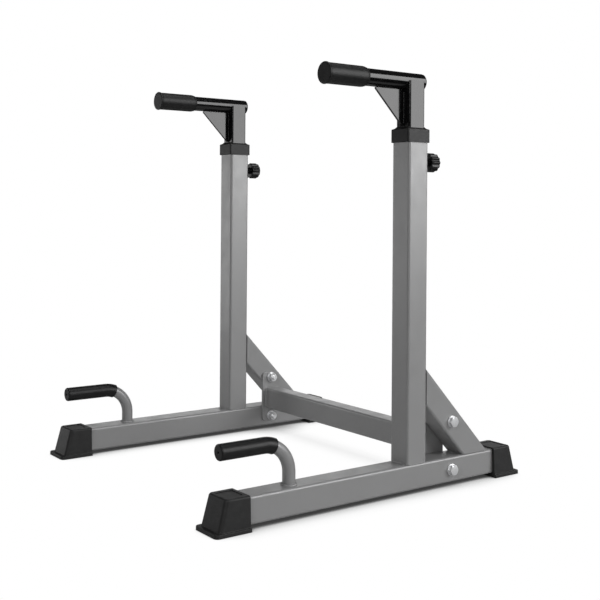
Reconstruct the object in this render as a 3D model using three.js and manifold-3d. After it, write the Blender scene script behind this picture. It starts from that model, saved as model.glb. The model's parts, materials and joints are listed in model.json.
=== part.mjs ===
// Dip station: two welded side frames bolted to one cross beam. A post slides in each upright, carries a
// dip bar, and is locked at one of its holes by a sprung pull-pin. Millimetres, +X to the right as seen
// from the front, +Y to the back, +Z up. The origin is on the floor under the middle of the object.
import * as THREE from 'three';
import { mergeVertices } from 'three/addons/utils/BufferGeometryUtils.js';
import Module from 'manifold-3d';

const wasm = await Module();
wasm.setup();

// Stance
const trackWidth = 640; // between the middle planes of the side frames
const baseLength = 690; // base tube, cut length
const uprightSetback = 90; // upright's axis behind the middle of the base tube

// Square tube of the side frames
const tubeSize = 50;
const tubeWall = 2;
const tubeCorner = 5; // outside radius
const uprightLength = 645;
const braceRise = 182; // up the upright's back, above the base tube
const braceReach = 171; // back along the base tube from the upright

// Cross beam and its flange plates
const beamDepth = 40;
const beamHeight = 50;
const beamWall = 2;
const beamCorner = 5;
const beamGapShare = 15 / 44; // of the room that the beam leaves between the washers, under it
const plateWidth = 50;
const plateMargin = 12; // above and below the bolts
const plateThickness = 5;
const plateCorner = 8;
const plateSetback = 94; // middle of the plate behind the upright's axis
const boltSpacing = 96; // from the bolt through the base tube up to the one through the brace

// Bolts, nuts and washers
const boltDiameter = 12;
const boltLength = 75; // under the head
const boltChamfer = 1.2;
const headAcross = 19; // across the flats, and of the nuts too
const headHeight = 7.5;
const nutHeight = 10;
const hexChamferShare = 0.14; // of the head's height
const washerDiameter = 24;
const washerThickness = 2;
const boltFit = 0.4; // round the shank, in holes, washers and nuts

// Height post
const postSize = 40;
const postWall = 2;
const postCorner = 4;
const postTravel = 200;
const holePitch = 50;
const postTail = 28; // post below its lowest hole
const glideFlange = 6;
const glideStem = 20;
const slideFit = 0.4; // between parts that slide on each other

// Dip bar, its grip and gusset
const barDiameter = 33.7;
const barWall = 2;
const barRise = 100; // bar's axis above the upright's top, with the post down
const barReach = 210; // bar's front end ahead of the post's axis
const barTail = 25; // bar's back end behind the post's axis
const plugCap = 3;
const plugStem = 14;
const gripWall = 2.7;
const gripLength = 97;
const gripEndWall = 5;
const gripRim = 1.2; // how far the rim at the free end stands out
const gripRimLength = 5;
const gripTaper = 7; // length of the tapered inner end
const gussetLeg = 71;
const gussetThickness = 5;
const gussetNose = 3; // blunt tips of the gusset

// Push-up handle
const handleDiameter = 24;
const handleWall = 1.5;
const handleLead = 288.5; // its standing leg ahead of the upright's axis
const handleHeight = 77; // its level part above the base tube
const handleBend = 55; // radius of the bend, at the tube's middle
const handleReach = 145; // free end ahead of the standing leg
const padWall = 2.7;
const padEndWall = 4;
const padVent = 5; // hole in the pad's closed end
const padBendTurn = Math.PI / 8; // of the bend that the pad covers

// Rubber feet
const footInsert = 44.5; // tube inside the foot
const footSole = 7.7; // rubber under the tube
const footTop = 2.7; // rubber over the tube
const footSide = 5.4; // rubber beside the tube, at the top
const footFlare = 2; // how far each side leans out towards the floor
const footNoseTop = 4.5; // rubber beyond the tube's end, at the top
const footNoseLean = 14; // how far the nose leans out towards the floor
const footLip = 9; // flange beyond the nose
const footRim = 3.5; // flange beyond the sides
const footFlange = 7; // thickness of the flange
const footCorner = 8;
const footPanel = 1; // depth of the sunk panel on top

// Collar bushing in the upright's mouth
const collarSkirt = 20; // how far it comes down over the upright
const collarWall = 3.5;
const collarCorner = 5; // outside radius
const collarShoulder = 2; // straight wall above the upright's top
const collarCove = 9; // height of the hollow slope above that
const collarRim = 2; // flat ring round the post at the top
const collarSleeve = 43; // sleeve inside the upright
const collarEase = 1.5; // rounding at the skirt's lower edge
const coveSteps = 4; // twice the steps of the hollow slope

// Pull-pin on the upright's back
const pinDrop = 57.5; // pin's axis below the upright's top
const pinTip = 10; // diameter of the locking tip
const pinStem = 8; // diameter of the stem through the spring
const pinTravel = 10;
const pinFit = 0.4; // round the pin, and ahead of it when it is drawn
const pinShoulder = 13;
const pinShoulderLength = 3;
const pinSeat = 0.6; // from the upright's face to the shoulder when the pin is home
const nutBoss = 20; // diameter of the weld nut
const nutBossLength = 8;
const barrelDiameter = 16;
const barrelLength = 26;
const barrelEndWall = 2.3;
const springWire = 1.2;
const springTurns = 5;
const springSteps = 8; // round each turn
const springSides = 6; // of the wire
const knobDiameter = 38;
const knobStandoff = 19; // knob's inner face from the upright's back
const knobLength = 26;
const knobDome = 8; // how far the end bulges
const knobCoreShare = 0.33; // of its length that is solid behind the hollow
const knobFlutes = 8;
const knobFluteDepth = 2;
const fluteSteps = 5; // round each flute
const knobHollowFit = 1;

// Clearances and steps of the round stretches
const seatGap = 0.3; // left between pieces that are welded, screwed or pushed together
const overrun = 5; // cutting shapes run on by this much
const cornerSteps = 3; // in a quarter round
const roundSteps = 20; // round a full turn
const smallSteps = 16; // round a full turn of a small piece
const bendSteps = 8; // round the bend of the push-up handle
const hexSides = 6;

// Levels and places that follow
const baseTop = footSole + seatGap + tubeSize;
const baseMiddle = baseTop - tubeSize / 2;
const uprightTop = baseTop + uprightLength;
const uprightBack = uprightSetback + tubeSize / 2;
const barLevel = uprightTop + barRise;
const pinLevel = uprightTop - pinDrop;
const postFoot = pinLevel - postTravel - postTail;
const plateMiddle = uprightSetback + plateSetback;
const plateLevel = baseMiddle + boltSpacing / 2;
const boltLevels = { lower: baseMiddle, upper: baseMiddle + boltSpacing };
const plateHeight = boltSpacing + plateMargin * 2;
const beamGap = (boltSpacing - washerDiameter - beamHeight) * beamGapShare;
const beamLevel = boltLevels.lower + washerDiameter / 2 + beamGap + beamHeight / 2;
const beamLength = trackWidth - tubeSize - plateThickness * 2;
const holeCount = Math.floor(postTravel / holePitch) + 1;

const finish = {
  frame: new THREE.MeshStandardMaterial({ color: 0x8b8d90, roughness: 0.42, metalness: 0.55 }),
  gloss: new THREE.MeshStandardMaterial({ color: 0x0b0b0c, roughness: 0.12, metalness: 0.1 }),
  rubber: new THREE.MeshStandardMaterial({ color: 0x1c1c1d, roughness: 0.7, metalness: 0 }),
  foam: new THREE.MeshStandardMaterial({ color: 0x161617, roughness: 0.9, metalness: 0 }),
  plastic: new THREE.MeshStandardMaterial({ color: 0x202122, roughness: 0.5, metalness: 0 }),
  knob: new THREE.MeshStandardMaterial({ color: 0x101011, roughness: 0.25, metalness: 0 }),
  zinc: new THREE.MeshStandardMaterial({ color: 0xc9cacb, roughness: 0.28, metalness: 1 }),
  steel: new THREE.MeshStandardMaterial({ color: 0x9fa1a3, roughness: 0.35, metalness: 1 }),
};

// A flat outline is drawn in its own x and y, and pushed out along X, Y or Z.
const alongX = new THREE.Matrix4().makeBasis(
  new THREE.Vector3(0, 1, 0), new THREE.Vector3(0, 0, 1), new THREE.Vector3(1, 0, 0));
const alongY = new THREE.Matrix4().makeBasis(
  new THREE.Vector3(1, 0, 0), new THREE.Vector3(0, 0, 1), new THREE.Vector3(0, -1, 0));
const alongZ = new THREE.Matrix4();

// An arc in an outline takes twice its curve segments.
function push(outline, length, way, steps = cornerSteps) {
  const options = { depth: length, bevelEnabled: false, curveSegments: steps / 2 };
  const body = new THREE.ExtrudeGeometry(outline, options);
  return body.translate(0, 0, -length / 2).applyMatrix4(way);
}

function traceRoundedBox(path, width, height, radius) {
  const x = width / 2 - radius;
  const y = height / 2 - radius;
  path.moveTo(x, -height / 2);
  path.absarc(x, -y, radius, -Math.PI / 2, 0, false);
  path.absarc(x, y, radius, 0, Math.PI / 2, false);
  path.absarc(-x, y, radius, Math.PI / 2, Math.PI, false);
  path.absarc(-x, -y, radius, Math.PI, Math.PI * 1.5, false);
  return path;
}

const roundedBox = (width, height, radius) => traceRoundedBox(new THREE.Shape(), width, height, radius);

function boxSection(width, height, wall, radius) {
  const outline = roundedBox(width, height, radius);
  outline.holes.push(traceRoundedBox(new THREE.Path(), width - wall * 2, height - wall * 2, radius - wall));
  return outline;
}

function ringSection(outer, inner) {
  const outline = new THREE.Shape().absarc(0, 0, outer, 0, Math.PI * 2, false);
  outline.holes.push(new THREE.Path().absarc(0, 0, inner, 0, Math.PI * 2, false));
  return outline;
}

// A turned piece stands on the Y axis. Its profile runs up the outside, and closes by itself or on the axis.
function turn(profile, steps = roundSteps) {
  const points = profile.map(([radius, y]) => new THREE.Vector2(radius, y));
  const onAxis = points[0].x === 0 && points[points.length - 1].x === 0;
  if (!onAxis) points.push(points[0].clone());
  return new THREE.LatheGeometry(points, steps);
}

function rod(radius, from, to, steps = roundSteps) {
  return turn([[0, from], [radius, from], [radius, to], [0, to]], steps);
}

function arc(x, y, radius, from, to, steps) {
  const angles = Array.from({ length: steps + 1 }, (_, i) => from + ((to - from) * i) / steps);
  return angles.map((angle) => [x + radius * Math.cos(angle), y + radius * Math.sin(angle)]);
}

function solidOf(geometry) {
  const bare = geometry.clone();
  bare.deleteAttribute('normal');
  bare.deleteAttribute('uv');
  const merged = mergeVertices(bare);
  const index = merged.index.array;
  const faces = [];
  for (let i = 0; i < index.length; i += 3) {
    const [a, b, c] = index.slice(i, i + 3);
    if (a !== b && b !== c && c !== a) faces.push(a, b, c);
  }
  const vertProperties = new Float32Array(merged.attributes.position.array);
  return new wasm.Manifold(new wasm.Mesh({ numProp: 3, vertProperties, triVerts: new Uint32Array(faces) }));
}

function geometryOf(solid) {
  const mesh = solid.getMesh();
  const geometry = new THREE.BufferGeometry();
  geometry.setAttribute('position', new THREE.BufferAttribute(new Float32Array(mesh.vertProperties), 3));
  geometry.setIndex(new THREE.BufferAttribute(new Uint32Array(mesh.triVerts), 1));
  return geometry;
}

const cut = (geometry, ...tools) =>
  geometryOf(tools.reduce((solid, tool) => solid.subtract(solidOf(tool)), solidOf(geometry)));
const join = (...parts) => geometryOf(parts.map(solidOf).reduce((a, b) => a.add(b)));
const overlap = (...parts) => geometryOf(parts.map(solidOf).reduce((a, b) => a.intersect(b)));

const tubeSection = () => boxSection(tubeSize, tubeSize, tubeWall, tubeCorner);

function boltHole(length) {
  const hole = rod(boltDiameter / 2 + boltFit, -length / 2, length / 2, smallSteps);
  return hole.rotateZ(Math.PI / 2);
}

// Side frame. These are drawn on the frame's own middle plane, at their real Y and Z.
function baseTube() {
  const tube = push(tubeSection(), baseLength, alongY).translate(0, 0, baseMiddle);
  return cut(tube, boltHole(tubeSize + overrun).translate(0, plateMiddle, boltLevels.lower));
}

function uprightTube() {
  const tube = push(tubeSection(), uprightLength, alongZ);
  tube.translate(0, uprightSetback, baseTop + uprightLength / 2);
  const hole = rod(pinTip / 2 + pinFit, 0, tubeSize, smallSteps).translate(0, uprightSetback, pinLevel);
  return cut(tube, hole);
}

// The brace is a long tube laid on its slope and trimmed flat to the upright's back and the base tube's top.
function braceTube() {
  const slope = Math.atan2(braceRise, braceReach);
  const length = Math.hypot(braceRise, braceReach) + tubeSize * 2;
  const halfAcross = tubeSize / 2;
  const tube = push(tubeSection(), length, alongY).rotateX(-slope);
  const middleY = uprightBack + braceReach / 2 - halfAcross * Math.sin(slope);
  const middleZ = baseTop + braceRise / 2 - halfAcross * Math.cos(slope);
  const room = new THREE.BoxGeometry(tubeSize + overrun * 2, length, length);
  room.translate(0, uprightBack + seatGap + length / 2, baseTop + seatGap + length / 2);
  const hole = boltHole(tubeSize + overrun).translate(0, plateMiddle, boltLevels.upper);
  return cut(overlap(tube.translate(0, middleY, middleZ), room), hole);
}

// The handle's middle line runs back from its free end, round the bend and down its leg. Its steps are
// one for each straight stretch and the rest for the bend, so even steps of t are what the sweep takes.
class HandleLine extends THREE.Curve {
  constructor(freeEnd, bendTurn, legLength = 0) {
    super();
    this.bends = Math.ceil((bendTurn / Math.PI) * 2 * bendSteps);
    this.steps = this.bends + (legLength > 0 ? 2 : 1);
    Object.assign(this, { freeEnd, bendTurn, legLength });
  }

  getUtoTmapping(u) {
    return u;
  }

  getPoint(t, target = new THREE.Vector3()) {
    const step = t * this.steps;
    const share = Math.min(Math.max((step - 1) / this.bends, 0), 1);
    const angle = share * this.bendTurn;
    const lead = Math.max(1 - step, 0) * (this.freeEnd - handleBend);
    const drop = Math.max(step - 1 - this.bends, 0) * this.legLength;
    const y = -handleBend * (1 - Math.sin(angle)) - lead;
    return target.set(0, y, handleHeight - handleBend * (1 - Math.cos(angle)) - drop);
  }
}

function sweep(outline, line) {
  const steps = { steps: line.steps, curveSegments: smallSteps / 2 };
  return new THREE.ExtrudeGeometry(outline, { ...steps, bevelEnabled: false, extrudePath: line });
}

const disc = (radius) => new THREE.Shape().absarc(0, 0, radius, 0, Math.PI * 2, false);
const legPlace = () => [0, uprightSetback - handleLead, baseTop];

function pushupTube() {
  const section = ringSection(handleDiameter / 2, handleDiameter / 2 - handleWall);
  const legLength = handleHeight - handleBend - seatGap;
  return sweep(section, new HandleLine(handleReach, Math.PI / 2, legLength)).translate(...legPlace());
}

// Foam sleeve, drawn over the tube's free end and the start of its bend.
function pushupGrip() {
  const outside = handleDiameter / 2 + padWall;
  const bore = handleDiameter / 2 + seatGap;
  const front = handleReach + seatGap + padEndWall;
  const skin = sweep(disc(outside), new HandleLine(front, padBendTurn));
  const core = sweep(disc(bore), new HandleLine(handleReach + seatGap, padBendTurn + overrun / handleBend));
  const vent = rod(padVent / 2, -front - overrun, -handleReach, smallSteps).translate(0, 0, handleHeight);
  const edge = padWall / 2;
  const past = outside + overrun;
  const rim = arc(outside - edge, edge, edge, -Math.PI / 2, 0, cornerSteps);
  const corner = [[outside - edge, -overrun], [past, -overrun], [past, edge]];
  const easing = turn([...corner, ...rim.reverse()], smallSteps);
  return cut(skin, core, vent, easing.translate(0, -front, handleHeight)).translate(...legPlace());
}

// Rubber sock over a base tube's end, with its nose towards +Y and its open edge at y = 0.
function foot() {
  const halfTop = tubeSize / 2 + seatGap + footSide;
  const halfSole = halfTop + footFlare;
  const top = baseTop + seatGap + footTop;
  const noseTop = footInsert + footNoseTop;
  const noseSole = noseTop + footNoseLean;
  const side = new THREE.Shape();
  side.moveTo(0, 0).lineTo(noseSole, 0).lineTo(noseTop, top).lineTo(0, top);
  const front = new THREE.Shape();
  front.moveTo(-halfSole, 0).lineTo(halfSole, 0);
  front.absarc(halfTop - footCorner, top - footCorner, footCorner, 0, Math.PI / 2, false);
  front.absarc(-halfTop + footCorner, top - footCorner, footCorner, Math.PI / 2, Math.PI, false);
  const plan = roundedBox(halfSole * 2, noseSole + footCorner, footCorner);
  const sideBlock = push(side, halfSole * 2 + overrun, alongX);
  const frontBlock = push(front, noseSole * 2, alongY);
  const planBlock = push(plan, top * 2 + overrun, alongZ).translate(0, (noseSole - footCorner) / 2, 0);
  const shell = overlap(sideBlock, frontBlock, planBlock);
  const soleLength = noseSole + footLip;
  const flange = push(roundedBox((halfSole + footRim) * 2, soleLength, footCorner), footFlange, alongZ);
  flange.translate(0, soleLength / 2, footFlange / 2);
  const socket = push(roundedBox(tubeSize + seatGap * 2, tubeSize + seatGap * 2, tubeCorner + seatGap),
    (footInsert + seatGap) * 2, alongY).translate(0, 0, baseMiddle);
  const panelLength = noseTop - footCorner * 2;
  const panel = push(roundedBox(tubeSize - footCorner * 2, panelLength, footCorner), footPanel * 2, alongZ);
  panel.translate(0, noseTop / 2, top);
  return cut(join(shell, flange), socket, panel);
}

const footEdge = baseLength / 2 - footInsert;
const rearFoot = () => foot().translate(0, footEdge, 0);
const frontFoot = () => foot().rotateZ(Math.PI).translate(0, -footEdge, 0);

// Collar: the same side profile from all four sides, hollowed for the upright's end and bored for the post.
function collarBushing() {
  const half = tubeSize / 2 + seatGap + collarWall;
  const ring = postSize / 2 + slideFit + collarRim;
  const shoulder = collarSkirt + collarShoulder;
  const top = shoulder + collarCove;
  const profile = new THREE.Shape();
  profile.moveTo(-half + collarEase, 0).lineTo(half - collarEase, 0);
  profile.quadraticCurveTo(half, 0, half, collarEase).lineTo(half, shoulder);
  profile.quadraticCurveTo(ring + collarRim, shoulder + collarShoulder, ring, top).lineTo(-ring, top);
  profile.quadraticCurveTo(-ring - collarRim, shoulder + collarShoulder, -half, shoulder);
  profile.lineTo(-half, collarEase).quadraticCurveTo(-half, 0, -half + collarEase, 0);
  const width = half * 2 + overrun;
  const outside = roundedBox(half * 2, half * 2, collarCorner);
  const cap = overlap(push(profile, width, alongX, coveSteps), push(profile, width, alongY, coveSteps),
    push(outside, top * 2 + overrun, alongZ));
  const pocketSize = tubeSize + seatGap * 2;
  const pocketHeight = collarSkirt + seatGap;
  const pocket = push(roundedBox(pocketSize, pocketSize, tubeCorner + seatGap), pocketHeight * 2, alongZ);
  const inside = tubeSize - tubeWall * 2 - slideFit * 2;
  const sleeveLength = collarSleeve + collarShoulder;
  const sleeve = push(roundedBox(inside, inside, tubeCorner - tubeWall), sleeveLength, alongZ);
  sleeve.translate(0, 0, collarSkirt + collarShoulder - sleeveLength / 2);
  const boreSize = postSize + slideFit * 2;
  const boreSection = roundedBox(boreSize, boreSize, postCorner + slideFit);
  const bore = push(boreSection, (top + collarSleeve) * 2, alongZ);
  const collar = cut(join(cut(cap, pocket), sleeve), bore);
  return collar.translate(0, uprightSetback, uprightTop - collarSkirt);
}

// Height post: open square tube with a saddle for the dip bar and one hole for each height.
function heightPost() {
  const length = barLevel - postFoot;
  const tube = push(boxSection(postSize, postSize, postWall, postCorner), length, alongZ);
  tube.translate(0, uprightSetback, postFoot + length / 2);
  const saddle = rod(barDiameter / 2 + seatGap, -postSize, postSize).translate(0, uprightSetback, barLevel);
  const holes = Array.from({ length: holeCount }, (_, i) => {
    const hole = rod(pinTip / 2 + pinFit, 0, postSize, smallSteps);
    return hole.translate(0, uprightSetback, pinLevel - holePitch * i);
  });
  return cut(tube, saddle, ...holes);
}

function postGlide() {
  const flangeSize = tubeSize - tubeWall * 2 - slideFit * 2;
  const stemSize = postSize - postWall * 2 - seatGap * 2;
  const flange = push(roundedBox(flangeSize, flangeSize, tubeCorner - tubeWall), glideFlange, alongZ);
  flange.translate(0, 0, -glideFlange / 2);
  const stemHeight = glideStem + glideFlange;
  const stem = push(roundedBox(stemSize, stemSize, postCorner - postWall), stemHeight, alongZ);
  stem.translate(0, 0, glideStem - stemHeight / 2);
  const hollowSize = stemSize - postWall * 2;
  const hollow = push(roundedBox(hollowSize, hollowSize, postCorner - postWall), glideStem * 2, alongZ);
  hollow.translate(0, 0, glideStem);
  return cut(join(flange, stem), hollow).translate(0, uprightSetback, postFoot);
}

function barGusset() {
  const postFace = -postSize / 2 - seatGap;
  const top = -barDiameter / 2 - seatGap;
  const front = postFace - gussetLeg;
  const outline = new THREE.Shape();
  outline.moveTo(postFace, top).lineTo(front, top).lineTo(front, top - gussetNose);
  outline.lineTo(postFace - gussetNose, top - gussetLeg).lineTo(postFace, top - gussetLeg);
  return push(outline, gussetThickness, alongX).translate(0, uprightSetback, barLevel);
}

const barPlace = () => [0, uprightSetback, barLevel];

function dipBar() {
  const section = ringSection(barDiameter / 2, barDiameter / 2 - barWall);
  const bar = push(section, barReach + barTail, alongY, roundSteps);
  return bar.translate(0, (barTail - barReach) / 2, 0).translate(...barPlace());
}

function dipBarEndPlug() {
  const radius = barDiameter / 2 - seatGap;
  const stem = barDiameter / 2 - barWall - seatGap;
  const edge = plugCap / 2;
  const cap = arc(radius - edge, barTail + plugCap - edge, edge, 0, Math.PI / 2, cornerSteps);
  const profile = [[0, barTail - plugStem], [stem, barTail - plugStem], [stem, barTail], [radius, barTail]];
  return turn([...profile, ...cap, [0, barTail + plugCap]], smallSteps).translate(...barPlace());
}

// Grip: closed sleeve with a rim at its free end and a tapered inner end.
function dipGrip() {
  const bore = barDiameter / 2 + seatGap;
  const outside = bore + gripWall;
  const front = -barReach - seatGap - gripEndWall;
  const back = front + gripLength;
  const rim = outside + gripRim;
  const edge = gripRim;
  const profile = [[0, front], ...arc(rim - edge, front + edge, edge, -Math.PI / 2, 0, cornerSteps)];
  profile.push([rim, front + gripRimLength - gripRim], [outside, front + gripRimLength]);
  profile.push([outside, back - gripTaper], [bore + gripWall / 4, back], [bore, back]);
  profile.push([bore, -barReach - seatGap], [0, -barReach - seatGap]);
  return turn(profile).translate(...barPlace());
}

// Pull-pin: these stand on the pin's axis, with y = 0 on the upright's back face and the pin drawn out.
const pinPlace = () => [0, uprightBack, pinLevel];
const shoulderFront = pinSeat + pinTravel;
const springFront = shoulderFront + pinShoulderLength + seatGap;
const springBack = barrelLength - barrelEndWall - seatGap;
const knobBack = knobStandoff + knobLength;
const knobHollowEnd = knobBack - knobLength * knobCoreShare;

function weldNut() {
  const bore = barrelDiameter / 2 + seatGap;
  const outside = nutBoss / 2;
  const edge = seatGap * 3;
  const profile = [[bore, 0], [outside, 0], [outside, nutBossLength - edge]];
  profile.push([outside - edge, nutBossLength], [bore, nutBossLength]);
  return turn(profile, smallSteps).translate(...pinPlace());
}

function pinBarrel() {
  const outside = barrelDiameter / 2;
  const chamber = pinShoulder / 2 + pinFit;
  const guide = pinStem / 2 + pinFit;
  const chamberEnd = barrelLength - barrelEndWall;
  const profile = [[chamber, seatGap], [outside, seatGap], [outside, barrelLength], [guide, barrelLength]];
  profile.push([guide, chamberEnd], [chamber, chamberEnd]);
  return turn(profile, smallSteps).translate(...pinPlace());
}

function plungerPin() {
  const tip = (tubeSize - postSize) / 2 - pinFit;
  const edge = pinTip / 5;
  const shoulder = [[pinShoulder / 2, shoulderFront], [pinShoulder / 2, shoulderFront + pinShoulderLength]];
  const profile = [[0, -tip], [pinTip / 2 - edge, -tip], [pinTip / 2, edge - tip]];
  profile.push([pinTip / 2, shoulderFront], ...shoulder);
  profile.push([pinStem / 2, shoulderFront + pinShoulderLength]);
  const stemEnd = (knobHollowEnd + knobBack) / 2;
  return turn([...profile, [pinStem / 2, stemEnd], [0, stemEnd]], smallSteps).translate(...pinPlace());
}

class SpringCoil extends THREE.Curve {
  getPoint(t, target = new THREE.Vector3()) {
    const angle = t * springTurns * Math.PI * 2;
    const radius = (pinShoulder + pinStem + pinFit * 2) / 4;
    const start = springFront + springWire / 2;
    const y = start + (springBack - springFront - springWire) * t;
    return target.set(radius * Math.cos(angle), y, radius * Math.sin(angle));
  }
}

function pinSpring() {
  const wire = new THREE.Shape().absarc(0, 0, springWire / 2, 0, Math.PI * 2, false);
  const steps = springTurns * springSteps;
  const options = { steps, curveSegments: springSides / 2, bevelEnabled: false };
  const coil = new THREE.ExtrudeGeometry(wire, { ...options, extrudePath: new SpringCoil() });
  return coil.translate(...pinPlace());
}

// Presses flutes into a turned body: its wall moves in where they run, and its middle stays.
function flute(body) {
  const position = body.attributes.position;
  for (let i = 0; i < position.count; i += 1) {
    const angle = Math.atan2(position.getX(i), position.getZ(i));
    const dip = ((1 - Math.cos(angle * knobFlutes)) / 2) ** 2;
    const share = 1 - (dip * knobFluteDepth) / (knobDiameter / 2);
    position.setX(i, position.getX(i) * share);
    position.setZ(i, position.getZ(i) * share);
  }
  return body;
}

// Knob: a domed, fluted cap whose hollow swallows the barrel when the pin goes home.
function pullKnob() {
  const radius = knobDiameter / 2;
  const edge = knobFluteDepth;
  const foot = arc(radius - edge, knobStandoff + edge, edge, -Math.PI / 2, 0, cornerSteps);
  const dome = arc(0, 0, 1, 0, Math.PI / 2, cornerSteps + 1);
  const top = dome.map(([x, y]) => [x * radius, knobBack + (y - 1) * knobDome]);
  top[top.length - 1][0] = 0;
  const body = flute(turn([[0, knobStandoff], ...foot, ...top], knobFlutes * fluteSteps));
  const hollow = rod(barrelDiameter / 2 + knobHollowFit, 0, knobHollowEnd, smallSteps);
  const socket = rod(pinStem / 2 + seatGap, 0, (knobHollowEnd + knobBack) / 2 + seatGap, smallSteps);
  return cut(body, hollow, socket).translate(...pinPlace());
}

// Hexagon with its outer rim chamfered, standing on x = 0 along the X axis.
function hexagon(height) {
  const corner = headAcross / Math.sqrt(3);
  const drop = height * hexChamferShare;
  const prism = turn([[0, 0], [corner, 0], [corner, height], [0, height]], hexSides);
  const inner = headAcross / 2;
  const rimmed = turn([[0, 0], [corner, 0], [corner, height - drop], [inner, height], [0, height]]);
  return overlap(prism, rimmed).rotateZ(-Math.PI / 2);
}

function hexBolt() {
  const radius = boltDiameter / 2;
  const end = -boltLength;
  const thread = [[0, end], [radius - boltChamfer, end], [radius, end + boltChamfer]];
  const profile = [...thread, [radius, overrun / 2], [0, overrun / 2]];
  const shank = turn(profile, smallSteps).rotateZ(-Math.PI / 2);
  return join(shank, hexagon(headHeight));
}

const hexNut = () => cut(hexagon(nutHeight).rotateY(Math.PI), boltHole(nutHeight * 2 + overrun));

function washer() {
  const inside = boltDiameter / 2 + boltFit;
  const outside = washerDiameter / 2;
  const profile = [[inside, 0], [outside, 0], [outside, washerThickness], [inside, washerThickness]];
  return turn(profile, smallSteps).rotateZ(-Math.PI / 2);
}

function flangePlate() {
  const plate = push(roundedBox(plateWidth, plateHeight, plateCorner), plateThickness, alongX);
  const hole = () => boltHole(plateThickness + overrun);
  const upper = hole().translate(0, 0, boltLevels.upper - plateLevel);
  const lower = hole().translate(0, 0, boltLevels.lower - plateLevel);
  return cut(plate, upper, lower);
}

// The beam lies flush with the back edges of its plates.
function crossBeam() {
  const beam = push(boxSection(beamDepth, beamHeight, beamWall, beamCorner), beamLength, alongX);
  const backEdge = plateMiddle + plateWidth / 2;
  return beam.translate(0, backEdge - beamDepth / 2, beamLevel);
}

const station = new THREE.Group();

function addPiece(group, name, geometry, material) {
  const mesh = new THREE.Mesh(geometry, material.clone());
  mesh.name = name;
  group.add(mesh);
  return mesh;
}

function addPieces(group, side, list) {
  for (const [name, make, material] of list) addPiece(group, `${side}_${name}`, make(), material);
}

const sidePieces = [
  ['base_tube', baseTube, finish.frame],
  ['upright_tube', uprightTube, finish.frame],
  ['brace_tube', braceTube, finish.frame],
  ['pushup_tube', pushupTube, finish.frame],
  ['pushup_grip', pushupGrip, finish.foam],
  ['front_foot', frontFoot, finish.rubber],
  ['rear_foot', rearFoot, finish.rubber],
  ['collar_bushing', collarBushing, finish.plastic],
  ['weld_nut', weldNut, finish.frame],
  ['pin_barrel', pinBarrel, finish.zinc],
  ['plunger_pin', plungerPin, finish.steel],
  ['pin_spring', pinSpring, finish.steel],
  ['pull_knob', pullKnob, finish.knob],
  ['height_post', heightPost, finish.gloss],
  ['post_glide', postGlide, finish.plastic],
  ['bar_gusset', barGusset, finish.gloss],
  ['dip_bar', dipBar, finish.gloss],
  ['dip_grip', dipGrip, finish.rubber],
  ['dip_bar_end_plug', dipBarEndPlug, finish.plastic],
];

// One bolted joint: the head outside, then a washer, the tube, the flange plate, a washer and the nut.
function addBolt(group, side, level) {
  const out = side === 'right' ? 1 : -1;
  const outerFace = tubeSize / 2;
  const innerFace = -tubeSize / 2 - plateThickness;
  const stack = [
    ['bolt', hexBolt, outerFace + washerThickness],
    ['outer_washer', washer, outerFace],
    ['inner_washer', washer, innerFace - washerThickness],
    ['nut', hexNut, innerFace - washerThickness],
  ];
  for (const [name, make, x] of stack) {
    const piece = addPiece(group, `${side}_${level}_${name}`, make(), finish.zinc);
    piece.position.set(out * x, plateMiddle, boltLevels[level]);
    piece.rotation.z = out > 0 ? 0 : Math.PI;
  }
}

for (const side of ['left', 'right']) {
  const out = side === 'right' ? 1 : -1;
  const sideFrame = new THREE.Group();
  sideFrame.position.x = (out * trackWidth) / 2;
  addPieces(sideFrame, side, sidePieces);
  const plate = addPiece(sideFrame, `${side}_flange_plate`, flangePlate(), finish.frame);
  plate.position.set((-out * (tubeSize + plateThickness)) / 2, plateMiddle, plateLevel);
  addBolt(sideFrame, side, 'lower');
  addBolt(sideFrame, side, 'upper');
  station.add(sideFrame);
}
addPiece(station, 'cross_beam', crossBeam(), finish.frame);

export default station;
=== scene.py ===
import json
import math

import bmesh
import bpy
from mathutils import Matrix, Vector, noise

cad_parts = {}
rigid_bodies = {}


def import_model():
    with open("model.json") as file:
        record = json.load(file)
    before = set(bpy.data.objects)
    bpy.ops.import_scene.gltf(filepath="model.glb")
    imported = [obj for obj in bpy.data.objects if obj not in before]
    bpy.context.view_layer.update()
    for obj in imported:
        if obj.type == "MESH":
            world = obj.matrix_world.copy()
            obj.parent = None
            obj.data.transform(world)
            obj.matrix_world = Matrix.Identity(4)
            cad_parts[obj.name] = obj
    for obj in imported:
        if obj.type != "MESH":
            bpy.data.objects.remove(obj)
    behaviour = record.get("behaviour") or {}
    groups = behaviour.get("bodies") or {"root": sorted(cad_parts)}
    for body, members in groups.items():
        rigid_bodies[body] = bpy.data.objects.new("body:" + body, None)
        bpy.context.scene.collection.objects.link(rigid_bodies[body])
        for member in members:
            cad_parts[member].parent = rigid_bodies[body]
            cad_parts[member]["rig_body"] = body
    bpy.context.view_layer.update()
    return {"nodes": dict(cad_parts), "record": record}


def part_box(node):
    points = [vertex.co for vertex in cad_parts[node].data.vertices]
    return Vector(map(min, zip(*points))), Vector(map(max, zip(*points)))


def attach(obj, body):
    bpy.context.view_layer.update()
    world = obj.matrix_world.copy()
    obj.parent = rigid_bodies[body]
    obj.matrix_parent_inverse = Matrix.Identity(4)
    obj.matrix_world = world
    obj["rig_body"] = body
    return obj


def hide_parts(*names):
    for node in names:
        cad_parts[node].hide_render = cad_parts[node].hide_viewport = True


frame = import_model()
nodes = frame["nodes"]
mm = 0.001
sides = ("left", "right")
print("frame loaded:", len(nodes), "nodes")


# Shaders


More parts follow.
